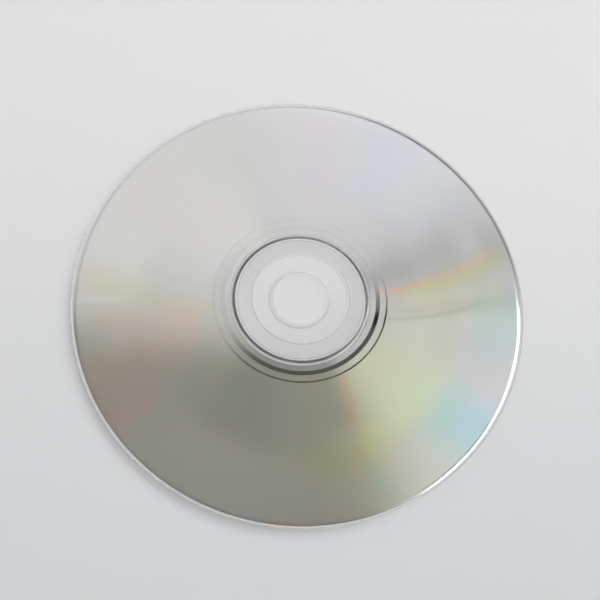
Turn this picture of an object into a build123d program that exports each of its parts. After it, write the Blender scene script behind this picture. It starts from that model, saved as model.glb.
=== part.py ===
from build123d import *
from math import radians, tan
import os

os.makedirs("parts", exist_ok=True)

# A compact disc, lying flat with its playing side up.
# The origin is the centre of the spindle hole, on the surface that the disc rests on.
# +Z runs up the spindle, out of the playing side. All lengths are in millimetres.
#
# The disc is one moulding of clear plastic. Its lower face, the label side, carries the
# reflective layer: a metal film and the lacquer over it, here one thin coat.

# The moulded plastic disc
disc_diameter = 120.0
disc_thickness = 1.2
rim_edge_radius = 0.2
spindle_hole_diameter = 15.0
hole_edge_chamfer = 0.25

# The hub step: inside this ring the playing side lies a little lower than the clamping land
hub_step_diameter = 26.7
hub_step_depth = 0.08
hub_step_slope_width = 0.45

# The stacking ring: a low ridge on the playing side that keeps stacked discs apart
stacking_ring_diameter = 35.5
stacking_ring_width = 1.2
stacking_ring_height = 0.15
stacking_ring_top_width = 0.6

# The holder groove: the print that the mould's stamper holder leaves on the label side.
# Its outer wall is steep, and its inner wall slopes gently up to the land.
holder_groove_diameter = 35.8
holder_groove_width = 1.0
holder_groove_depth = 0.3
holder_groove_inner_slope_width = 0.4
holder_groove_outer_slope_width = 0.2

# The reflective layer on the label side
coat_thickness = 0.03
coat_to_groove_margin = 0.8
clear_rim_width = 0.6

# The edge lip: along the rim the moulding thickens on its label side. The underside falls
# away from flat ever more steeply, so the metal there mirrors the room outwards.
lip_width = 0.7
lip_start_angle = 2.25
lip_end_angle = 4.0

disc_radius = disc_diameter / 2
spindle_hole_radius = spindle_hole_diameter / 2
holder_groove_outer_radius = holder_groove_diameter / 2
coat_inner_radius = holder_groove_outer_radius + coat_to_groove_margin
coat_outer_radius = disc_radius - clear_rim_width
lip_inner_radius = coat_outer_radius - lip_width
lip_start_slope = tan(radians(lip_start_angle))
lip_end_slope = tan(radians(lip_end_angle))
lip_drop = lip_width * (lip_start_slope + lip_end_slope) / 2

# Heights of the two faces of the plastic. The disc rests on the clear foot of its lip, and the
# coat ends beside that foot, level with it.
label_face_height = coat_thickness + lip_drop
playing_face_height = label_face_height + disc_thickness


def section(*lines):
    """Close lines of the (radius, height) plane into one face through the spindle's axis."""
    return Plane.XZ * make_face([edge for line in lines for edge in line.edges()])


def turn(profile):
    """Turn a section once round the spindle's axis."""
    return revolve(profile, Axis.Z)


def ring(inner_low, outer_low, outer_high, inner_high):
    """The section of a ring with four (radius, height) corners."""
    return section(Polyline(inner_low, outer_low, outer_high, inner_high, close=True))


def plain_plate():
    """The flat disc between its two faces, from the hole to the rim."""
    return ring(
        (spindle_hole_radius, label_face_height),
        (disc_radius, label_face_height),
        (disc_radius, playing_face_height),
        (spindle_hole_radius, playing_face_height),
    )


def lip_curve(height_at_start):
    """The shallow curve that falls from the flat of the label side to the foot of the lip."""
    half_width = lip_width / 2
    return Bezier(
        (lip_inner_radius, height_at_start),
        (lip_inner_radius + half_width, height_at_start - half_width * lip_start_slope),
        (coat_outer_radius, height_at_start - lip_drop),
    )


def edge_lip():
    """What the lip adds below the label side, with its clear foot outside the coat."""
    return section(
        lip_curve(label_face_height),
        Polyline(
            (coat_outer_radius, coat_thickness),
            (coat_outer_radius, 0),
            (disc_radius, 0),
            (disc_radius, label_face_height),
            (lip_inner_radius, label_face_height),
        ),
    )


def hub_step():
    """What the hub step takes off the playing side, from the hole out to the clamping land."""
    outer_radius = hub_step_diameter / 2
    floor_height = playing_face_height - hub_step_depth
    return ring(
        (spindle_hole_radius, floor_height),
        (outer_radius - hub_step_slope_width, floor_height),
        (outer_radius, playing_face_height),
        (spindle_hole_radius, playing_face_height),
    )


def stacking_ring():
    """The low ridge on the playing side, with sloping sides and a flat top."""
    centre = stacking_ring_diameter / 2
    half_foot = stacking_ring_width / 2
    half_top = stacking_ring_top_width / 2
    crest_height = playing_face_height + stacking_ring_height
    return ring(
        (centre - half_foot, playing_face_height),
        (centre + half_foot, playing_face_height),
        (centre + half_top, crest_height),
        (centre - half_top, crest_height),
    )


def holder_groove():
    """The groove in the label side, gentle towards the hub and steep towards the metal."""
    inner_radius = holder_groove_outer_radius - holder_groove_width
    floor_height = label_face_height + holder_groove_depth
    return ring(
        (inner_radius, label_face_height),
        (holder_groove_outer_radius, label_face_height),
        (holder_groove_outer_radius - holder_groove_outer_slope_width, floor_height),
        (inner_radius + holder_groove_inner_slope_width, floor_height),
    )


def moulded_disc():
    """The clear plastic disc: one section with its lip and rings, eased at its edges, turned once."""
    profile = plain_plate() + edge_lip() - hub_step()
    profile = fillet(profile.vertices().group_by(Axis.X)[-1], rim_edge_radius)
    profile = chamfer(profile.vertices().group_by(Axis.X)[0], hole_edge_chamfer)
    profile += stacking_ring()
    profile -= holder_groove()
    return turn(profile)


def reflective_coat():
    """The metal film with its lacquer, from beside the holder groove to the foot of the lip."""
    coat_underside = label_face_height - coat_thickness
    return turn(
        section(
            Polyline((lip_inner_radius, label_face_height), (coat_inner_radius, label_face_height)),
            Polyline((coat_inner_radius, label_face_height), (coat_inner_radius, coat_underside)),
            Polyline((coat_inner_radius, coat_underside), (lip_inner_radius, coat_underside)),
            lip_curve(coat_underside),
            Polyline((coat_outer_radius, 0), (coat_outer_radius, coat_thickness)),
            lip_curve(label_face_height),
        )
    )


export_step(moulded_disc(), "parts/clear_disc.step")
export_step(reflective_coat(), "parts/reflective_layer.step")
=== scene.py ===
# %% [markdown]
# # A compact disc, playing side up
#
# This notebook dresses one compact disc: a plate of clear plastic with a thin reflective layer
# on its underside, which is the label side. Every length is in metres, and +Z points up, out of
# the playing side. The first cell loads the engineering model, which says where each piece lies.

# %% Load the frame
import math

import bpy
from mathutils import Matrix, Vector


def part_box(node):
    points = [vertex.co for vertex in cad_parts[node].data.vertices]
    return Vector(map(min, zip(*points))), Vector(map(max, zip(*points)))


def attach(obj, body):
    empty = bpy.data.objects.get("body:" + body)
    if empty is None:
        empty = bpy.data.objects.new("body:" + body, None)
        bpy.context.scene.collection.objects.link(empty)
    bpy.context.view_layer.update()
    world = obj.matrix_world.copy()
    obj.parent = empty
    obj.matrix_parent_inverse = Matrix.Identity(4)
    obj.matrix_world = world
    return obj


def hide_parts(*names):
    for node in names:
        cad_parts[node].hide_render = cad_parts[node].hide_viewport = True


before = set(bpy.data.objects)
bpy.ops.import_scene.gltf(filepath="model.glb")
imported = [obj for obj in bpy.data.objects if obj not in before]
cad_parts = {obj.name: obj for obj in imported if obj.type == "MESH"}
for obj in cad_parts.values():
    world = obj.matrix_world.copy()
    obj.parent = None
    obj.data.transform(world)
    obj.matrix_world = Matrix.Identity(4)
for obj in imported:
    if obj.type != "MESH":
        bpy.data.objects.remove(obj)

scene = bpy.context.scene
scene.view_settings.view_transform = "Standard"
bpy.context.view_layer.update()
print("nodes:", sorted(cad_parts))

# %% [markdown]
# ## The sizes of the disc
#
# A turned thing is known by its radii and its heights. The outer radius, the height of the top
# and the faces of the coat are read from the frame. The radii of the rings are standard sizes
# or were measured against the outer circle, and they are the ones that the engineering model
# was turned with, so both fit without any shifting.

# %% Sizes read from the frame
MM = 0.001
disc_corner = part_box("clear_disc")[1]
coat_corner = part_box("reflective_layer")[1]

rim_radius = disc_corner[0]
coat_outer_radius = coat_corner[0]
label_face = coat_corner[2]
ring_height = 0.15 * MM
playing_face = disc_corner[2] - ring_height
print("rim radius, mm:", round(rim_radius / MM, 3))
print("plastic from", round(label_face / MM, 4), "to", round(playing_face / MM, 4), "mm")

# %% Radii and depths of the rings
hole_radius = 7.5 * MM
hole_edge = 0.25 * MM
rim_edge = 0.2 * MM
step_radius = 13.35 * MM
step_slope = 0.45 * MM
step_depth = 0.08 * MM
ring_radius = 17.75 * MM
ring_foot = 1.2 * MM
ring_top = 0.6 * MM
groove_outer_radius = 17.9 * MM
groove_width = 1.0 * MM
groove_depth = 0.3 * MM
groove_inner_slope = 0.4 * MM
groove_outer_slope = 0.2 * MM
coat_inner_radius = 18.7 * MM
coat_thickness = 0.03 * MM
print("the stacking ring is", round(ring_foot / MM, 2), "mm wide at its foot")

# %% The lip along the rim
lip_width = 0.7 * MM
lip_start_slope = math.tan(math.radians(2.25))
lip_inner_radius = coat_outer_radius - lip_width
lip_drop = label_face - coat_thickness
print("the lip falls by", round(lip_drop / MM, 4), "mm")

# %% [markdown]
# ## The camera
#
# The picture looks down on the disc, a little from the front. The place of the camera, the
# point that it looks at and its focal length were found by fitting the round outline, the
# spindle hole and the rings, so one view gives the tilt and the distance together. The camera's
# own upward direction is kept in line with +Y of the table.

# %% Camera
camera_place = Vector((-18.28, -89.75, 228.72)) * MM
camera_target = Vector((-0.130, -0.297, 0.0)) * MM
camera_focal_length = 55.47
camera_sensor_width = 36
camera_nearest = 0.005

camera_data = bpy.data.cameras.new("camera")
camera_data.sensor_width = camera_sensor_width
camera_data.lens = camera_focal_length
camera_data.clip_start = camera_nearest
camera = bpy.data.objects.new("camera", camera_data)
scene.collection.objects.link(camera)
back = (camera_place - camera_target).normalized()
right = Vector((0, 1, 0)).cross(back).normalized()
turn = Matrix((right, back.cross(right), back)).transposed().to_4x4()
camera.matrix_world = Matrix.Translation(camera_place) @ turn
scene.camera = camera
print("camera looks down at", round(math.degrees(math.acos(back.z)), 1), "degrees from the vertical")

# %% [markdown]
# ## Writing shader maths as maths
#
# A finish is a net of small nodes. Drawn by hand, a formula such as `1 - x * x` takes three
# nodes and their links. Here a `Wire` stands for one socket, and Python's own operators on it
# add the Math nodes, while `Finish.node` adds any other kind of node from its type, its
# settings and the values of its sockets. The formulas below then read as formulas.

# %% Wires
class Wire:
    """One output in a finish. Arithmetic on it adds Math nodes."""

    def __init__(self, finish, socket):
        self.finish = finish
        self.socket = socket

    def math(self, operation, *others):
        values = dict(enumerate((self, *others)))
        return self.finish.node("ShaderNodeMath", {"operation": operation}, values)

    def behind(self, operation, first):
        values = {0: first, 1: self}
        return self.finish.node("ShaderNodeMath", {"operation": operation}, values)

    def __add__(self, other):
        return self.math("ADD", other)

    def __radd__(self, other):
        return self.math("ADD", other)

    def __sub__(self, other):
        return self.math("SUBTRACT", other)

    def __rsub__(self, other):
        return self.behind("SUBTRACT", other)

    def __mul__(self, other):
        return self.math("MULTIPLY", other)

    def __rmul__(self, other):
        return self.math("MULTIPLY", other)

    def __truediv__(self, other):
        return self.math("DIVIDE", other)

    def __abs__(self):
        return self.math("ABSOLUTE")


# %% Finishes
class Finish:
    """A node tree that is being filled, of a material or of the world."""

    def __init__(self, tree):
        self.tree = tree
        tree.nodes.clear()

    def node(self, kind, settings=None, values=None, output=0):
        """Add one node: first its settings, then the values or links of its sockets."""
        node = self.tree.nodes.new(kind)
        for name, setting in (settings or {}).items():
            setattr(node, name, setting)
        for name, value in (values or {}).items():
            if isinstance(value, Wire):
                self.tree.links.new(value.socket, node.inputs[name])
            else:
                node.inputs[name].default_value = value
        return Wire(self, node.outputs[output])

    def split(self, vector):
        """The x, y and z of a vector."""
        first = self.node("ShaderNodeSeparateXYZ", None, {0: vector})
        return [Wire(self, socket) for socket in first.socket.node.outputs]

    def rise(self, value, start, end):
        """0 below start, 1 above end, and a smooth change between them."""
        settings = {"interpolation_type": "SMOOTHSTEP"}
        return self.node("ShaderNodeMapRange", settings, {0: value, 1: start, 2: end})

    def between(self, value, low, high, soft):
        """1 from low to high, 0 outside, with soft edges that are centred on both ends."""
        rising = self.rise(value, low - soft / 2, low + soft / 2)
        falling = self.rise(value, high - soft / 2, high + soft / 2)
        return rising * (1 - falling)

    def blend(self, factor, first, second):
        """A colour from first to second."""
        settings = {"data_type": "RGBA"}
        return self.node("ShaderNodeMix", settings, {0: factor, 6: first, 7: second}, output=2)

    def tinted(self, factor, colour, gain):
        """A colour, multiplied by a gain for red, green and blue as far as the factor says."""
        settings = {"data_type": "RGBA", "blend_type": "MULTIPLY"}
        return self.node("ShaderNodeMix", settings, {0: factor, 6: colour, 7: (*gain, 1.0)}, output=2)

    def shader(self, kind, **values):
        """A surface shader, with its sockets named in words joined by underscores."""
        named = {name.replace("_", " "): value for name, value in values.items()}
        return self.node("ShaderNodeBsdf" + kind, None, named)

    def mixed(self, factor, first, second):
        """One shader laid over another."""
        return self.node("ShaderNodeMixShader", None, {0: factor, 1: first, 2: second})

    def end(self, kind, shader):
        """End the tree in its output node."""
        last = self.tree.nodes.new(kind)
        self.tree.links.new(shader.socket, last.inputs["Surface"])


trial = bpy.data.node_groups.new("trial", "ShaderNodeTree")
number = Finish(trial).node("ShaderNodeValue")
formula = 1 - number * number
print("1 - x * x takes", len(formula.finish.tree.nodes), "nodes")
bpy.data.node_groups.remove(trial)


# %% Colours and materials
def grey(level):
    """A colour without a hue."""
    return (level, level, level, 1.0)


def new_material(name):
    """A material with an empty node tree, and the finish that fills it."""
    material = bpy.data.materials.new(name)
    material.use_nodes = True
    return material, Finish(material.node_tree)


def put_on(finish, shader):
    """End a material's tree, and say how large it is."""
    finish.end("ShaderNodeOutputMaterial", shader)
    print("a finish of", len(finish.tree.nodes), "nodes")


print("middle grey:", grey(0.5))

# %% [markdown]
# Everything on a disc is a ring or a part of a ring, so the finishes ask for two things: how
# far out a point lies, and in which direction. Directions are azimuths in degrees, counted
# anticlockwise from the right of the picture.

# %% Places on the disc
def place(finish):
    """The x, y and z of the shaded point, in metres from the object's own origin."""
    return finish.split(finish.node("ShaderNodeTexCoord", output="Object"))


def polar(finish):
    """How far out the shaded point lies, in mm, and its azimuth in degrees."""
    x, y = place(finish)[:2]
    radius = (x * x + y * y).math("SQRT") / MM
    azimuth = y.math("ARCTAN2", x) * math.degrees(1)
    return radius, azimuth


# Each sector: the azimuth of its middle, and how many degrees beside that it starts to fade
# and has ended.
SECTORS = {
    "fan": (-34.0, 14.0, 36.0),
    "fan on the metal": (-34.0, 14.0, 40.0),
    "near side": (-85.0, 20.0, 75.0),
    "right": (0.0, 46.0, 66.0),
    "upper right": (38.0, 22.0, 50.0),
    "far right": (60.0, 50.0, 80.0),
}
fan_azimuth = SECTORS["fan"][0]
far_azimuth = 90.0
near_left_azimuth = -135.0


def sector(finish, azimuth, name):
    """1 in a sector of the disc, 0 outside it, with a soft change between them."""
    centre, full, faded = SECTORS[name]
    return 1 - finish.rise(abs(azimuth - centre), full, faded)


def toward(azimuth, centre):
    """1 in the direction of a centre azimuth, 0 beside it and -1 opposite."""
    return ((azimuth - centre) * math.radians(1)).math("COSINE")


print("the fan of light lies at azimuth", fan_azimuth)

# %% [markdown]
# ## The light of the room
#
# Polished metal shows the room and little else, so the room is drawn as brightness by
# direction. Straight above the disc, where the picture is taken from, it is dark. Beyond an
# edge with a bend in it a pale ceiling begins, on the far side and to the left, and a darker
# beam lies across it on the right. Low on the far right a bright opening gives most of the
# light on the paper. The metal shows a narrow dark line on the right as a fine curve.
#
# A direction is named by where it meets a plane one unit above the table, across to the right
# and away from the viewer, because the straight edges of a room are straight lines there.

# %% Edges and levels of the room
# A pair gives where a change starts and where it ends.
lowest_direction = 0.02
overhead_level = 0.105
ceiling_level = 0.748
ceiling_gain_across = 0.15
left_edge_slope = 0.09
right_edge_slope = -0.40
crisp_edge = (0.295, 0.365)
wide_edge = (0.295, 0.523)
crisp_share = 0.56
beam_depth = 0.43
beam_slope = -0.47
beam_start_across = (0.10, 0.36)
beam_start_away = (0.2, 0.3)
near_wall_level = 0.025
near_wall_end = (0.232, 0.246)
opening_level = 4.8
opening_slope = 0.81
opening_start = (1.555, 1.759)
dark_line_depth = 0.93
dark_line_slope = -0.168
dark_line_away = 0.342
dark_line_half_width = (0.005, 0.011)
dark_line_span = (0.135, 0.345)
dark_line_soft_ends = 0.02
print("ceiling to overhead:", round(ceiling_level / overhead_level, 1), "times as bright")


# %% The room
def ceiling_light(room, across, away):
    """The pale ceiling, with its bent edge and its darker beam, over the overhead level."""
    left_edge = away + left_edge_slope * across
    right_edge = away + right_edge_slope * across
    behind_edge = left_edge.math("MINIMUM", right_edge)
    crisp = crisp_share * room.rise(behind_edge, *crisp_edge)
    wide = (1 - crisp_share) * room.rise(behind_edge, *wide_edge)
    level = (ceiling_level - overhead_level) * (crisp + wide) * (1 + ceiling_gain_across * across)
    beam = room.rise(across, *beam_start_across)
    beam = beam * room.rise(away + beam_slope * across, *beam_start_away)
    return level * (1 - beam_depth * beam)


def dark_line(room, across, away):
    """1 on a narrow straight line at the right of the room."""
    aside = abs(away + dark_line_slope * across - dark_line_away)
    on_line = 1 - room.rise(aside, *dark_line_half_width)
    return on_line * room.between(across, *dark_line_span, dark_line_soft_ends)


def room_light():
    """Fill the world with soft light that depends on the direction alone."""
    world = bpy.data.worlds.new("room")
    scene.world = world
    world.use_nodes = True
    room = Finish(world.node_tree)
    x, y, z = room.split(room.node("ShaderNodeTexCoord", output="Generated"))
    up = z.math("MAXIMUM", lowest_direction)
    across = x / up
    away = y / up

    near_wall = near_wall_level * (1 - room.rise(away, *near_wall_end))
    opening = opening_level * room.rise(opening_slope * across + away, *opening_start)
    level = near_wall.math("MAXIMUM", ceiling_light(room, across, away)) + opening + overhead_level
    level = level * (1 - dark_line_depth * dark_line(room, across, away))
    light = room.node("ShaderNodeBackground", None, {"Color": grey(1.0), "Strength": level})
    room.end("ShaderNodeOutputWorld", light)


room_light()
print("world:", len(scene.world.node_tree.nodes), "nodes")

# %% [markdown]
# The window is an area lamp. Its lower edge is what the metal shows first, and it runs
# between two directions, named by the x and y of their unit vectors. The lamp hangs from
# that edge, turned so that it faces the disc. An area lamp of radiance L and area A needs
# a power of pi times L times A.

# %% The window
def hang_window(name, corner, other_corner, distance, height, radiance):
    """A rectangular lamp whose lower edge runs between two directions from the disc."""

    def out_to(direction):
        x, y = direction
        return Vector((x, y, math.sqrt(1 - x * x - y * y))) * distance

    first, last = out_to(corner), out_to(other_corner)
    along = (first - last).normalized()
    middle = (first + last) / 2
    outward = along.cross(-middle.normalized()).normalized()
    if outward.z > 0:
        outward = -outward
    centre = middle + outward * height / 2
    facing = centre.normalized()
    facing = (facing - along * facing.dot(along)).normalized()
    lamp_data = bpy.data.lights.new(name, "AREA")
    lamp_data.shape = "RECTANGLE"
    lamp_data.size = (first - last).length
    lamp_data.size_y = height
    lamp_data.energy = math.pi * radiance * lamp_data.size * height
    lamp = bpy.data.objects.new(name, lamp_data)
    scene.collection.objects.link(lamp)
    axes = Matrix((along, facing.cross(along), facing)).transposed().to_4x4()
    lamp.matrix_world = Matrix.Translation(centre) @ axes
    print(name, "stands", round(centre.length, 2), "m away,", round(lamp_data.size, 2), "m wide")


window_far_corner = (0.412, 0.364)
window_near_corner = (0.277, -0.259)
hang_window("window", window_far_corner, window_near_corner, distance=1.0, height=0.2, radiance=4.4)

# %% [markdown]
# ## The table
#
# The disc lies on plain pale paper. The stage is one sheet that is flat round the disc and
# bends up into a low wall far away, so that views from the side see no horizon. It lies a
# hair under the disc's own zero height, because two faces in one plane would flicker. The
# paper is matt. Its colour is painted a little greyer and cooler on the viewer's side and lighter
# beyond: a painted fall of the light towards the viewer.

# %% Stage
def paper_stage():
    """A round sheet of paper that curves up into a wall far from the disc."""
    flat_radius = 2.5
    wall_radius = 4.0
    wall_height = 0.9
    sink = 0.02 * MM
    around = 96
    bends = 8
    profile = []
    for step in range(bends + 1):
        turned = math.pi / 2 * step / bends
        radius = flat_radius + (wall_radius - flat_radius) * math.sin(turned)
        profile.append((radius, wall_height * (1 - math.cos(turned)) - sink))
    points = [(0.0, 0.0, -sink)]
    for radius, height in profile:
        for step in range(around):
            angle = math.tau * step / around
            points.append((radius * math.cos(angle), radius * math.sin(angle), height))
    faces = [(0, 1 + step, 1 + (step + 1) % around) for step in range(around)]
    for ring in range(bends):
        inner, outer = 1 + ring * around, 1 + (ring + 1) * around
        for step in range(around):
            after = (step + 1) % around
            faces.append((inner + step, outer + step, outer + after, inner + after))
    mesh = bpy.data.meshes.new("paper_table")
    mesh.from_pydata(points, [], faces)
    mesh.shade_smooth()
    table = bpy.data.objects.new("paper_table", mesh)
    scene.collection.objects.link(table)
    return table


def paper_material():
    """Matt paper, painted greyer and cooler on the viewer's side and lighter beyond: painted shade and
    light.
    """
    # painted shade on the viewer's side, painted light beyond
    painted_near_shade = (0.725, 0.745, 0.76, 1)
    painted_far_light = (0.90, 0.895, 0.895, 1)
    near_end, far_end = -0.11, 0.10
    material, paper = new_material("pale_paper")
    away = place(paper)[1]
    colour = paper.blend(paper.rise(away, near_end, far_end), painted_near_shade, painted_far_light)
    put_on(paper, paper.shader("Principled", Base_Color=colour, Roughness=0.85))
    return material


table = paper_stage()
table.data.materials.append(paper_material())
print("table:", len(table.data.polygons), "faces")

# %% [markdown]
# ## Turning a section
#
# Both pieces of a disc are turned: one section, swept once round the spindle. Geometry Nodes
# do this with a circle for a rail and the section for a profile. The section hangs on the
# circle, so its radii are given from the circle's own radius. The rail and the section are
# both closed, and the swept skin then has no seam and no open end. Level faces are shaded
# flat, gentle curves are shaded smooth, and the crisp corners stay crisp.

# %% The turning tree
steps_round = 720
crisp_angle = math.radians(20)
level_normal = 0.99999
upward_normal = 0.5


def turning_tree():
    """Geometry nodes that sweep a closed section round the spindle."""
    tree = bpy.data.node_groups.new("turn_round_spindle", "GeometryNodeTree")
    face = tree.interface

    def add_input(name, kind, value=None):
        entry = face.new_socket(name=name, in_out="INPUT", socket_type=kind)
        if value is not None:
            entry.default_value = value

    add_input("Section", "NodeSocketGeometry")
    add_input("Rail radius", "NodeSocketFloat", 0.03)
    add_input("Steps round", "NodeSocketInt", steps_round)
    add_input("Crisp angle", "NodeSocketFloat", crisp_angle)
    add_input("Upper finish", "NodeSocketMaterial")
    add_input("Lower finish", "NodeSocketMaterial")
    face.new_socket(name="Turned piece", in_out="OUTPUT", socket_type="NodeSocketGeometry")

    given = tree.nodes.new("NodeGroupInput")

    def add(kind, settings=None, links=None):
        node = tree.nodes.new(kind)
        for name, setting in (settings or {}).items():
            setattr(node, name, setting)
        for name, value in (links or {}).items():
            if isinstance(value, bpy.types.NodeSocket):
                tree.links.new(value, node.inputs[name])
            else:
                node.inputs[name].default_value = value
        return node

    rail = add("GeometryNodeCurvePrimitiveCircle", {"mode": "RADIUS"}, {
        "Resolution": given.outputs["Steps round"],
        "Radius": given.outputs["Rail radius"],
    })
    section = add("GeometryNodeMeshToCurve", None, {"Mesh": given.outputs["Section"]})
    skin = add("GeometryNodeCurveToMesh", None, {
        "Curve": rail.outputs["Curve"],
        "Profile Curve": section.outputs["Curve"],
    })

    normal = add("GeometryNodeInputNormal")
    height = add("ShaderNodeSeparateXYZ", None, {"Vector": normal.outputs["Normal"]})
    steepness = add("ShaderNodeMath", {"operation": "ABSOLUTE"}, {0: height.outputs["Z"]})
    sloping = add("ShaderNodeMath", {"operation": "LESS_THAN"}, {
        0: steepness.outputs[0],
        1: level_normal,
    })
    curved = add("GeometryNodeSetShadeSmooth", {"domain": "FACE"}, {
        "Geometry": skin.outputs["Mesh"],
        "Shade Smooth": sloping.outputs[0],
    })
    fold = add("GeometryNodeInputMeshEdgeAngle")
    gentle = add("ShaderNodeMath", {"operation": "LESS_THAN"}, {
        0: fold.outputs["Unsigned Angle"],
        1: given.outputs["Crisp angle"],
    })
    shaded = add("GeometryNodeSetShadeSmooth", {"domain": "EDGE"}, {
        "Geometry": curved.outputs["Geometry"],
        "Shade Smooth": gentle.outputs[0],
    })

    real = add("GeometryNodeRealizeInstances", None, {"Geometry": shaded.outputs["Geometry"]})
    facing_up = add("ShaderNodeMath", {"operation": "GREATER_THAN"}, {
        0: height.outputs["Z"],
        1: upward_normal,
    })
    facing_down = add("ShaderNodeMath", {"operation": "SUBTRACT"}, {
        0: 1.0,
        1: facing_up.outputs[0],
    })
    upper = add("GeometryNodeSetMaterial", None, {
        "Geometry": real.outputs["Geometry"],
        "Selection": facing_up.outputs[0],
        "Material": given.outputs["Upper finish"],
    })
    lower = add("GeometryNodeSetMaterial", None, {
        "Geometry": upper.outputs["Geometry"],
        "Selection": facing_down.outputs[0],
        "Material": given.outputs["Lower finish"],
    })
    result = tree.nodes.new("NodeGroupOutput")
    tree.links.new(lower.outputs["Geometry"], result.inputs["Turned piece"])
    return tree


turning = turning_tree()
print("turning tree:", len(turning.nodes), "nodes")


# %% [markdown]
# The next helper feeds a section to the tree, lets Blender work it out, and keeps the result
# as a plain mesh. The section's corners run anticlockwise in the plane of radius and height,
# with the plastic on their left.

# %% Turning one piece
def turn_piece(name, corners, upper_finish, lower_finish):
    """Sweep (radius, height) corners round the spindle into a plain closed mesh."""
    rail_radius = (corners[0][0] + max(radius for radius, height in corners)) / 2
    loop = [(radius - rail_radius, -height, 0.0) for radius, height in reversed(corners)]
    outline = bpy.data.meshes.new(name + "_section")
    edges = [(index, (index + 1) % len(loop)) for index in range(len(loop))]
    outline.from_pydata(loop, edges, [])
    section = bpy.data.objects.new(name + "_section", outline)
    scene.collection.objects.link(section)

    modifier = section.modifiers.new("turn", "NODES")
    modifier.node_group = turning
    given = {item.name: item.identifier for item in turning.interface.items_tree}
    modifier[given["Rail radius"]] = rail_radius
    modifier[given["Steps round"]] = steps_round
    modifier[given["Upper finish"]] = upper_finish
    modifier[given["Lower finish"]] = lower_finish

    graph = bpy.context.evaluated_depsgraph_get()
    mesh = bpy.data.meshes.new_from_object(section.evaluated_get(graph))
    mesh.name = name
    mesh.materials.pop(index=0)
    bpy.data.objects.remove(section)
    piece = bpy.data.objects.new(name, mesh)
    scene.collection.objects.link(piece)
    print(name, "has", len(corners), "corners in its section and", len(mesh.polygons), "faces")
    return piece


print("one degree of the rim takes", steps_round // 360, "steps")


# %% Curves in a section
def quarter(centre_radius, centre_height, radius, start, steps=9):
    """A quarter of a circle in the section, anticlockwise from the start angle in degrees."""
    points = []
    for step in range(steps + 1):
        angle = math.radians(start + 90 * step / steps)
        points.append((centre_radius + radius * math.cos(angle), centre_height + radius * math.sin(angle)))
    return points


def lip_points(height, steps=10):
    """The shallow curve that falls from the flat of the label side to the foot of the lip."""
    bend = lip_drop - lip_start_slope * lip_width
    points = []
    for step in range(steps + 1):
        along = step / steps
        fall = lip_start_slope * lip_width * along + bend * along * along
        points.append((lip_inner_radius + lip_width * along, height - fall))
    return points


print("the lip's curve has", len(lip_points(label_face)), "points")

# %% [markdown]
# ## The finish of the clear plastic
#
# Polycarbonate bends light strongly: its index is 1.585. A path tracer lets no lamp light
# straight through such a body, so what lies under it would turn dark. The plastic is therefore
# open to shadow rays and to the light that scatters off the table. Only the walls of the rim
# and of the hole hold some of that light back, and the disc gets its soft contact shadow.
#
# The plastic is nearly colourless in the hub. Its colour is painted greyer over the clamping land,
# most on the far side, and beside the groove: painted shade.

# %% Tint and painted shade of the plastic
def plastic_tint_and_shade(plastic, radius, azimuth, lower):
    """Clear outside and a trace warmer in the hub; painted shade greys it over the land and beside the
    groove.
    """
    hub_tint, outer_tint = (0.98, 0.985, 0.955, 1), grey(1.0)
    # painted shade over the land, darker on the far side
    near_land_shade, far_land_shade = (0.885, 0.90, 0.885, 1), (0.82, 0.83, 0.815, 1)
    # painted shade beside the groove
    groove_side_shade = grey(0.60)
    metal_start, land_start, land_end = (18.7, 19.0), (11.4, 14.4), (18.5, 18.8)
    groove_side_low, groove_side_high, groove_side_soft = 18.0, 18.75, 0.1
    land_shift = 0.6
    far_turn = (-0.6, 0.9)

    fan_side = sector(plastic, azimuth, "fan")
    over_metal = plastic.rise(radius, *metal_start)
    tint = plastic.blend(over_metal, hub_tint, outer_tint)
    far_side = plastic.rise(toward(azimuth, far_azimuth), *far_turn)
    land_shade = plastic.blend(far_side, near_land_shade, far_land_shade)
    beyond_land = plastic.rise(radius + land_shift * fan_side, *land_end)
    over_land = plastic.rise(radius, *land_start) * (1 - beyond_land)
    tint = plastic.blend(over_land, tint, land_shade)
    beside_groove = plastic.between(radius, groove_side_low, groove_side_high, groove_side_soft)
    return plastic.blend(lower * beside_groove * (1 - fan_side), tint, groove_side_shade)


print("the groove reaches", round((label_face + groove_depth) / MM, 3), "mm over the table")

# %% [markdown]
# Every edge that the mould leaves turns a narrow strip of the plastic away from the light, and
# the strip shows as a dark line. Such lines are painted into the colour as painted shade: on the
# lower face over the groove, the hole, the edge of the metal and the foot of the lip, and on the
# upper face over the hub step and the rim. The soft ring round the hole and the echo of the hub
# step are painted shadows that those edges cast on the table. The renderer tints light by the
# square root of the base colour each time it crosses a face, so a dark painted line needs a base
# colour close to black.

# %% Painted shade lines
# Each painted shade line: how dark it is, the radii in mm between which it lies, and how soft its edges
# are.
PAINTED_SHADE_LINES = {
    "groove": (0.96, 17.4, 18.08, 0.25),
    "inner edge of the groove": (0.85, 16.78, 17.02, 0.1),
    "edge of the hole": (0.3, 7.65, 8.25, 0.7),
    "edge of the metal": (0.85, 18.5, 18.7, 0.1),
    "foot of the lip": (0.85, 59.41, 62.0, 0.1),
    "hub step": (1.0, 12.95, 13.25, 0.15),
    "echo of the hub step": (0.3, 12.2, 12.42, 0.1),
    "upper edge of the rim": (0.9, 59.8, 62.0, 0.12),
}


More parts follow.
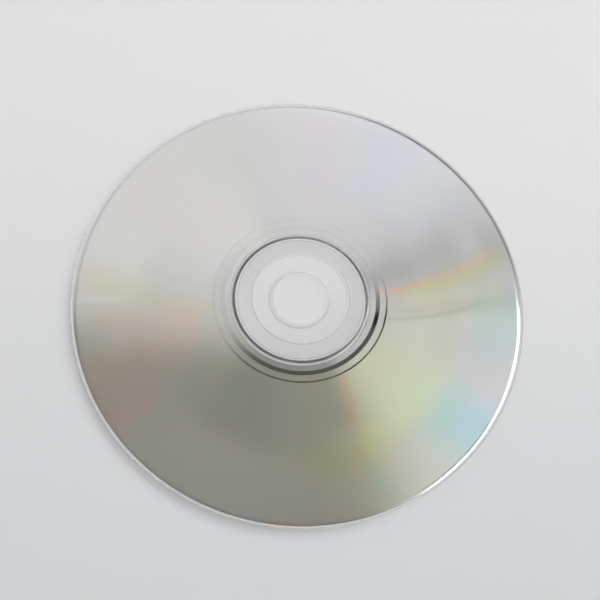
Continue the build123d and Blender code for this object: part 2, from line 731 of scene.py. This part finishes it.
def painted_shade_lines(plastic, radius, azimuth, lower):
    """How dark the painted shade lines are here. A shift follows where the camera sees the line of the
    edge.
    """

    def shaded_line(name, shift=0.0):
        darkness, low, high, soft = PAINTED_SHADE_LINES[name]
        return darkness * plastic.between(radius + shift, low, high, soft)

    fan_side = sector(plastic, azimuth, "fan")
    groove_strength = 1 - 0.3 * fan_side
    groove_shift = 0.36 * fan_side
    hole_shift = -0.55 * toward(azimuth, near_left_azimuth)
    metal_edge_shift = 0.005 * (azimuth - fan_azimuth)
    step_strength = 0.3 - 0.2 * toward(azimuth, far_azimuth)
    below = sum([
        groove_strength * shaded_line("groove", groove_shift),
        shaded_line("inner edge of the groove"),
        shaded_line("edge of the hole", hole_shift),
        fan_side * shaded_line("edge of the metal", metal_edge_shift),
        sector(plastic, azimuth, "upper right") * shaded_line("foot of the lip"),
    ])
    above = sum([
        step_strength * shaded_line("hub step"),
        sector(plastic, azimuth, "far right") * shaded_line("echo of the hub step"),
        sector(plastic, azimuth, "right") * shaded_line("upper edge of the rim"),
    ])
    return (lower * below + (1 - lower) * above).math("MINIMUM", 1.0)


print(len(PAINTED_SHADE_LINES), "painted shade lines")

# %% [markdown]
# The slopes of the stacking ring, of the groove and of the hole are a few tenths of a
# millimetre wide. Real ones are softer than the model's, and bend the view less, so they are
# partly open here. The outermost edge comes off the mould a little frosted.

# %% Openings of the plastic
# How far the plastic is open over each slope.
OPEN_SHARES = {
    "wall of the hole": 0.8,
    "inside of the stacking ring": 0.85,
    "outside of the stacking ring": 0.5,
    "inside of the groove": 0.9,
    "lit edge of the rim": 0.6,
}


def over_slope(plastic, radius, start, end, margin=0.01 * MM, soft=0.03):
    """1 on a sloping face, from its start radius to its end radius in metres."""
    return plastic.between(radius, (start - margin) / MM, (end + margin) / MM, soft)


def openings(plastic, radius, lower, shadow_side):
    """How far the plastic is open here, over its slopes and at the lit part of the rim."""
    hole_wall = (7.3, 7.78, 0.05)
    rim_edge_start = (59.78, 59.86)
    groove_margin = 0.02 * MM
    upper = 1 - lower
    half_foot, half_top = ring_foot / 2, ring_top / 2
    ring_inside = over_slope(plastic, radius, ring_radius - half_foot, ring_radius - half_top)
    ring_outside = over_slope(plastic, radius, ring_radius + half_top, ring_radius + half_foot)
    slope_start = groove_outer_radius - groove_width
    slope_end = slope_start + groove_inner_slope
    groove_inside = over_slope(plastic, radius, slope_start, slope_end, groove_margin)
    slopes = {
        "wall of the hole": plastic.between(radius, *hole_wall),
        "inside of the stacking ring": upper * ring_inside,
        "outside of the stacking ring": upper * ring_outside,
        "inside of the groove": lower * groove_inside,
        "lit edge of the rim": (1 - shadow_side) * plastic.rise(radius, *rim_edge_start),
    }
    opened = sum(OPEN_SHARES[name] * slope for name, slope in slopes.items())
    return opened.math("MINIMUM", 1.0)


def dim_walls(plastic, radius, shadow_side):
    """How far the walls hold back the light that the table gets, most on the shadow's side."""
    rim_wall_start, hole_wall_end = (59.9, 59.96), (7.55, 7.6)
    least = 0.3
    rim_wall = shadow_side.math("MAXIMUM", least) * plastic.rise(radius, *rim_wall_start)
    hole_wall = least * (1 - plastic.rise(radius, *hole_wall_end))
    return rim_wall + hole_wall


print("the stacking ring's slopes are", round((ring_foot - ring_top) / 2 / MM, 2), "mm wide")


# %% Clear plastic
def clear_plastic():
    """Polycarbonate with its tints, painted shade and painted shade lines, its openings, and open to the
    light for the table.
    """
    # the first colour is the near-black of the painted shade lines
    shade_black, frost_tint = grey(0.004), (0.9, 0.91, 0.91, 1)
    groove_top = (label_face + groove_depth) / MM
    above_groove = (groove_top, groove_top + 0.1)
    frost_start, frost_share = (59.86, 59.98), 0.3
    shadow_turn = (0.0, 0.9)

    material, plastic = new_material("moulded_clear_plastic")
    radius, azimuth = polar(plastic)
    height = place(plastic)[2] / MM
    lower = 1 - plastic.rise(height, *above_groove)
    shadow_side = plastic.rise(toward(azimuth, near_left_azimuth), *shadow_turn)

    tint = plastic_tint_and_shade(plastic, radius, azimuth, lower)
    # the painted shade lines darken the colour towards black
    tint = plastic.blend(painted_shade_lines(plastic, radius, azimuth, lower), tint, shade_black)
    bulk = plastic.shader("Principled", Base_Color=tint, Roughness=0.0, IOR=1.585, Transmission_Weight=1.0)
    frosted = plastic.shader("Principled", Base_Color=frost_tint, Roughness=0.6)
    open_wall = plastic.shader("Transparent", Color=grey(1.0))
    solid = plastic.mixed(frost_share * plastic.rise(radius, *frost_start), bulk, frosted)
    solid = plastic.mixed(openings(plastic, radius, lower, shadow_side), solid, open_wall)

    clear = plastic.shader("Transparent", Color=grey(1.0))
    dim = plastic.shader("Transparent", Color=grey(0.5))
    passed = plastic.mixed(dim_walls(plastic, radius, shadow_side), clear, dim)
    shadow = plastic.node("ShaderNodeLightPath", output="Is Shadow Ray")
    scattered = plastic.node("ShaderNodeLightPath", output="Is Diffuse Ray")
    put_on(plastic, plastic.mixed(shadow.math("MAXIMUM", scattered), solid, passed))
    return material


plastic_material = clear_plastic()

# %% [markdown]
# ## The finish of the metal
#
# The metal is a film of about a ten-thousandth of a millimetre. It lies on a spiral track that
# is finer than a hair, and the track spreads every reflection outwards along the radius. An
# anisotropic shader does the same: its highlight is long across the track and short along it.
# The track also splits white light. Those pastel colours are painted into the metal's base
# colour, as streaks that run from the hub to the rim. Other streaks paint light and shade into
# that colour: painted highlights and painted shade.

# %% Streaks of colour, painted highlights and painted shade
# Each streak: what it is, its azimuth at the hub and at the rim, half its width in degrees,
# the radii in mm between which it shows, and its gains for red, green and blue. A streak whose
# gains are nearly alike is a painted highlight or painted shade, and the thin grey line in the
# fan is a painted reflection of a dark line in the room.
TRACK_COLOURS_AND_PAINTED_LIGHT = [
    ("brown shade of the near left", 228, 234, 74, 18, 62, (1.01, 1.00, 0.88)),
    ("deeper painted brown shade by the hub", 240, 252, 46, 18, 42, (0.84, 0.84, 0.82)),
    ("olive of the near side", 281, 284, 32, 20, 48, (1.00, 1.00, 0.81)),
    ("olive by the near rim", 285, 285, 24, 40, 62, (1.02, 1.00, 0.86)),
    ("light beside the fan", 289, 289, 17, 37, 62, (1.17, 1.17, 1.17)),
    ("straw in the fan", -46, -46, 37, 22, 44, (1.08, 1.10, 0.79)),
    ("straw by the rim", -60, -60, 28, 42, 60, (0.97, 0.98, 0.89)),
    ("pale straw", -8, -8, 34, 20, 43, (1.00, 1.00, 0.90)),
    ("yellow of the far fan", 2, 2, 14, 30, 56, (1.04, 1.05, 0.92)),
    ("leaf green", -39, -39, 24, 34, 50, (0.94, 1.03, 1.02)),
    ("sea green by the rim", -39, -39, 16, 46, 61, (0.79, 1.00, 0.96)),
    ("cyan at the very rim", -37, -37, 13, 51, 61, (0.95, 1.00, 1.15)),
    ("green by the right rim", -6, -6, 22, 47, 61, (0.86, 0.97, 0.97)),
    ("painted shade of the right fan", -14, -14, 20, 36, 61, (0.92, 0.92, 0.92)),
    ("painted dark reflection in the fan", -14.5, 5.0, 1.8, 22, 47, (0.89, 0.89, 0.90)),
    ("rose between the greens", -23, -23, 7, 48, 57, (1.01, 0.975, 1.00)),
    ("red fringe above the fan, hub end", 5.0, 17.0, 2.8, 18, 33, (1.30, 0.92, 0.84)),
    ("red fringe above the fan, rim end", 5.5, 17.0, 2.8, 32, 55, (1.16, 0.96, 0.88)),
    ("yellow fringe above the fan", 2.5, 14.0, 3.4, 25, 58, (1.05, 1.04, 0.76)),
    ("yellow beyond the fringe", 7, 18, 3.6, 38, 58, (1.00, 1.00, 0.92)),
    ("red fringe below the fan, hub end", -62, -76, 4.2, 23, 35, (1.24, 0.93, 0.92)),
    ("red fringe below the fan, rim end", -62, -76, 4.2, 33, 45, (1.16, 0.97, 0.94)),
    ("yellow fringe below the fan", -56, -72, 5.0, 26, 46, (1.02, 1.02, 0.92)),
    ("green fringe below the fan", -80, -65, 5.0, 46, 60, (0.90, 1.00, 1.00)),
    ("painted shade above the fan", 18, 24, 14, 16, 46, (0.87, 0.87, 0.86)),
    ("painted shade by the hub above the fan", 22, 22, 26, 15, 31, (0.90, 0.90, 0.90)),
    ("painted shade by the rim above the fan", 19, 19, 10, 53, 62, (0.87, 0.87, 0.87)),
    ("light at the upper edge of the fan", -1, 8, 7.5, 26, 60, (1.09, 1.08, 1.07)),
    ("light at the upper right", 45, 45, 20, 36, 62, (1.08, 1.08, 1.08)),
    ("cool upper right", 62, 62, 50, 32, 62, (0.975, 1.00, 1.055)),
    ("pink at the far side", 82, 84, 12, 28, 56, (1.035, 0.955, 0.98)),
    ("warm upper left", 138, 138, 46, 18, 62, (0.965, 0.95, 0.92)),
    ("painted shade beside the groove", 160, 160, 40, 14, 22.9, (0.90, 0.90, 0.90)),
    ("painted shade at the left of the hub", 170, 170, 28, 20, 42, (0.91, 0.91, 0.91)),
    ("peach at the upper left", 146, 146, 10, 32, 52, (1.02, 0.98, 0.98)),
    ("cream at the left", 176, 176, 20, 38, 58, (1.01, 1.00, 0.95)),
    ("yellow streak at the left", 189, 175, 5.5, 24, 58, (1.03, 1.00, 0.87)),
    ("painted white highlight at the left", 183, 182, 1.8, 47, 58, (1.10, 1.10, 1.10)),
    ("pink streak at the left", 193, 187, 6, 26, 56, (1.05, 0.97, 0.90)),
    ("rose at the lower left", 195, 208, 17, 28, 61, (1.15, 0.99, 0.93)),
    ("red streak at the lower left", 201, 201, 3.5, 36, 58, (1.10, 0.98, 0.96)),
    ("outer red streak", 217, 217, 6, 45, 61, (1.10, 0.96, 0.95)),
    ("light at the lower left", 198, 198, 10, 46, 60, (1.12, 1.12, 1.06)),
    ("green streak", 236, 236, 6.0, 22, 35, (0.90, 1.00, 1.00)),
    ("second green streak", 247, 247, 5.0, 20, 35, (0.93, 1.00, 1.00)),
    ("orange at the near rim", 266, 266, 8.0, 58.4, 62, (1.25, 0.95, 0.80)),
    ("shade of the lip on the right", 56, 56, 52, 59.1, 62, (0.50, 0.50, 0.52)),
    ("painted shade at the start of the bright lip", -42, -42, 27, 58.5, 58.92, (0.35, 0.35, 0.35)),
    ("painted highlight at the end of the lip", 0, 0, 11, 58.5, 59.35, (1.25, 1.25, 1.25)),
    ("painted highlight at the left edge", 164, 164, 44, 59.02, 62, (1.17, 1.17, 1.17)),
    ("shade of the lip on the left", 166, 166, 40, 58.6, 59.0, (0.64, 0.64, 0.64)),
]
print(len(TRACK_COLOURS_AND_PAINTED_LIGHT), "streaks of colour")


# %% Laying the streaks on
streak_hub_radius = 20.0
streak_rim_radius = 58.0
softness_share = 0.4
widest_softness = 8.0
lip_softness = 0.15


def streak(finish, radius, azimuth, at_hub, at_rim, half_width, start, end):
    """How far a streak shows here. Its azimuth changes evenly from the hub out to the rim."""
    outward = (radius - streak_hub_radius) * (1 / (streak_rim_radius - streak_hub_radius))
    line = at_hub + (at_rim - at_hub) * outward
    aside = (azimuth - line + 540.0).math("FLOORED_MODULO", 360.0) - 180.0
    across = 1 - finish.rise(abs(aside), 0.0, half_width)
    on_lip = start > streak_rim_radius
    soft = lip_softness if on_lip else min(widest_softness, softness_share * (end - start))
    return across * finish.between(radius, start, end, soft)


def track_colour_and_painted_light(finish, radius, azimuth, base):
    """The base colour of the metal with every streak of split light, painted highlight and painted shade
    laid over it.
    """
    colour = base
    for name, at_hub, at_rim, half_width, start, end, gain in TRACK_COLOURS_AND_PAINTED_LIGHT:
        shows = streak(finish, radius, azimuth, at_hub, at_rim, half_width, start, end)
        colour = finish.tinted(shows, colour, gain)
    return colour


print("streaks run from", streak_hub_radius, "to", streak_rim_radius, "mm")

# %% [markdown]
# Where there is no track the metal is a plain mirror: in a band round the hub and in one thin
# line outside it. Both fade on the far side, where mirror and track look alike. On the near side
# that mirror is painted olive and darker, a painted reflection of the room. Elsewhere half
# of the light is mirrored and half is spread, in two widths. The wider one also makes the
# metal count as rough for the denoiser, which keeps the soft fan of light free of grain. The
# lip along the rim mirrors a little less: its mirror colour is painted darker, a painted shade.

# %% Track metal
def track_metal():
    """Metal with streaks of colour, painted highlights and painted shade on its track, and mirrors where
    there is no track.
    """
    bright = grey(0.85)
    # painted reflection: the bare mirror on the near side is painted olive and darker
    olive_reflection_gain = (0.85, 0.83, 0.70)
    # painted shade on the mirror of the lip
    lip_shade_gain = (0.76, 0.76, 0.76)
    band_zone, line_zone = (20.2, 21.3, 0.12), (22.92, 23.34, 0.08)
    lip_start, lip_shift = (58.66, 58.74), -0.2
    mirror_far_azimuth, far_turn, far_fade = 80.0, (0.3, 0.75), 0.9
    narrow_spread, wide_spread = 0.19, 0.28
    wide_share = 0.58
    mirror_share = 0.5

    material, metal = new_material("track_metal")
    radius, azimuth = polar(metal)
    trackless = metal.between(radius, *band_zone).math("MAXIMUM", metal.between(radius, *line_zone))
    far_side = metal.rise(toward(azimuth, mirror_far_azimuth), *far_turn)
    smooth = trackless * (1 - far_fade * far_side)
    bare = metal.tinted(sector(metal, azimuth, "near side"), bright, olive_reflection_gain)
    colour = metal.blend(smooth, track_colour_and_painted_light(metal, radius, azimuth, bright), bare)

    beside_fan = 1 - sector(metal, azimuth, "fan on the metal")
    lip = metal.rise(radius + lip_shift * beside_fan, *lip_start)
    reflected = metal.tinted(lip, colour, lip_shade_gain)
    mirror = metal.shader("Principled", Base_Color=reflected, Metallic=1.0, Roughness=0.03)
    spread = []
    for roughness in (narrow_spread, wide_spread):
        spread.append(metal.shader(
            "Principled",
            Base_Color=colour,
            Metallic=1.0,
            Roughness=roughness,
            Anisotropic=1.0,
            Anisotropic_Rotation=0.25,
        ))
    fan = metal.mixed(wide_share, *spread)
    put_on(metal, metal.mixed(mirror_share + (1 - mirror_share) * smooth, fan, mirror))
    return material


metal_material = track_metal()

# %% [markdown]
# ## The finish of the label side
#
# A bare label side is lacquered metal: silver seen through a thin clear coat that was spun
# on. Spinning leaves faint rings, and the lacquer takes the gloss down to a satin.

# %% Lacquer
def lacquer_finish():
    """Silver under a spun coat of lacquer, with faint rings."""
    dark_silver, pale_silver = (0.60, 0.61, 0.62, 1), grey(0.70)
    material, lacquer = new_material("lacquered_silver")
    radius = polar(lacquer)[0]
    rings = lacquer.node(
        "ShaderNodeTexNoise",
        {"noise_dimensions": "1D"},
        {"W": radius, "Scale": 2.5, "Detail": 4.0},
    )
    put_on(lacquer, lacquer.shader(
        "Principled",
        Base_Color=lacquer.blend(rings, dark_silver, pale_silver),
        Metallic=0.85,
        Roughness=0.28 + 0.1 * rings,
        Coat_Weight=0.6,
    ))
    return material


lacquer_material = lacquer_finish()

# %% [markdown]
# ## The clear disc
#
# The disc is injection moulded in one shot. Its section runs out along the label side, through
# the groove and down the lip to its foot, round the rim, back over the stacking ring and the
# hub step, and down the hole.

# %% Clear disc
groove_inner_radius = groove_outer_radius - groove_width
groove_floor = label_face + groove_depth
step_floor = playing_face - step_depth
disc_corners = [
    (hole_radius, label_face + hole_edge),
    (hole_radius + hole_edge, label_face),
    (groove_inner_radius, label_face),
    (groove_inner_radius + groove_inner_slope, groove_floor),
    (groove_outer_radius - groove_outer_slope, groove_floor),
    (groove_outer_radius, label_face),
]
disc_corners += lip_points(label_face)
disc_corners += [(coat_outer_radius, 0.0)]
disc_corners += quarter(rim_radius - rim_edge, rim_edge, rim_edge, -90)
disc_corners += quarter(rim_radius - rim_edge, playing_face - rim_edge, rim_edge, 0)
disc_corners += [
    (ring_radius + ring_foot / 2, playing_face),
    (ring_radius + ring_top / 2, playing_face + ring_height),
    (ring_radius - ring_top / 2, playing_face + ring_height),
    (ring_radius - ring_foot / 2, playing_face),
    (step_radius, playing_face),
    (step_radius - step_slope, step_floor),
    (hole_radius + hole_edge, step_floor),
    (hole_radius, step_floor - hole_edge),
]
disc = turn_piece("disc_plastic", disc_corners, plastic_material, plastic_material)
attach(disc, "root")
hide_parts("clear_disc")

# %% [markdown]
# ## The reflective layer
#
# The metal is sputtered onto the moulded track and sealed with lacquer, so metal and plastic
# touch with no air between them, and the camera sees the metal through the plastic alone. Two
# faces in the same plane would fight, and a gap would act as air, so the metal's face is set a
# few thousandths of a millimetre into the plastic.

# %% Reflective layer
bedded = 0.005 * MM
coat_corners = [(coat_inner_radius, label_face - coat_thickness)]
coat_corners += lip_points(label_face - coat_thickness)
coat_corners += [(radius, height + bedded) for radius, height in reversed(lip_points(label_face))]
coat_corners += [(coat_inner_radius, label_face + bedded)]
coat = turn_piece("reflective_coat", coat_corners, metal_material, lacquer_material)
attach(coat, "root")
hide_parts("reflective_layer")
